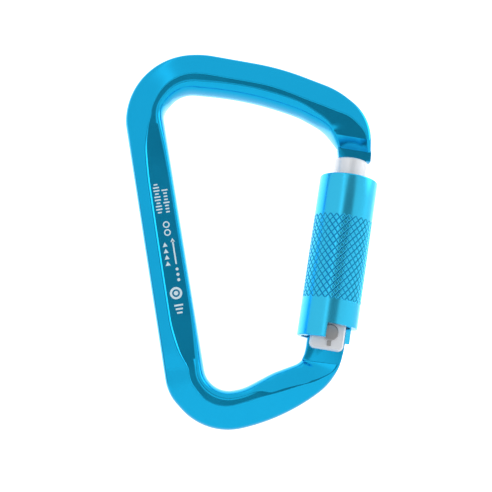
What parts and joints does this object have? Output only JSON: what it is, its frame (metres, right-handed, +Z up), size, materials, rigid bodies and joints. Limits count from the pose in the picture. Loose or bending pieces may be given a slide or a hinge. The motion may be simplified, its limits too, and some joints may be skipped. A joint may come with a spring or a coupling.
{
  "type": "locking carabiner",
  "caption": "Auto-locking aluminium carabiner: asymmetric D frame, knurled lift-and-twist sleeve over a sprung gate, riveted hinge.",
  "frame": {"origin": "deepest point of the top basket, where the load hangs, in the bar's mid plane", "axes": "+Z up the straight spine, +X from the spine towards the gate, Y through the bar's thickness; the rivet's keyed head faces -Y"},
  "size_m": [0.0734, 0.0174, 0.1144],
  "materials": {
    "anodised_frame": "bright blue anodised, forged and tumbled",
    "anodised_sleeve": "light blue anodised, turned and knurled",
    "bare_gate": "bare aluminium, fine turned",
    "rivet_steel": "dull stainless",
    "spring_steel": "drawn spring wire",
    "plunger_brass": "turned",
    "bush_polymer": "moulded acetal"
  },
  "bodies": {
    "frame": {"frame": "anodised_frame"},
    "gate": {"gate_barrel": "bare_gate", "hinge_rivet": "rivet_steel", "gate_spring": "spring_steel", "guide_pin": "rivet_steel", "end_bush": "bush_polymer", "retaining_ring": "spring_steel", "sleeve_spring": "spring_steel"},
    "plunger": {"gate_plunger": "plunger_brass"},
    "lift_collar": {"lift_washer": "spring_steel"},
    "sleeve": {"locking_sleeve": "anodised_sleeve"}
  },
  "joints": [
    {"name": "gate_hinge", "type": "hinge", "parent": "frame", "child": "gate", "pos_m": [0.02979, 0, -0.0797], "axis": [0, -1, 0], "range_deg": [0, 25], "stiffness_Nm_per_rad": 0.35, "springref_deg": -20.05},
    {"name": "sleeve_lift", "type": "slide", "parent": "gate", "child": "lift_collar", "axis": [0.3198, 0, 0.9475], "range_m": [0, 0.0045], "stiffness_N_per_m": 700, "springref_m": -0.006, "deforming": ["sleeve_spring"]},
    {"name": "sleeve_twist", "type": "hinge", "parent": "lift_collar", "child": "sleeve", "pos_m": [0.02922, 0, -0.07951], "axis": [-0.3198, 0, -0.9475], "range_deg": [0, 110], "stiffness_Nm_per_rad": 0.06, "springref_deg": -45.84},
    {"name": "plunger_slide", "type": "slide", "parent": "gate", "child": "plunger", "axis": [0.3198, 0, 0.9475], "range_m": [0, 0.0007], "deforming": ["gate_spring"]}
  ],
  "couplings": [
    {"joint": "plunger_slide", "follows": "gate_hinge", "m_per_rad": 0.0016}
  ]
}
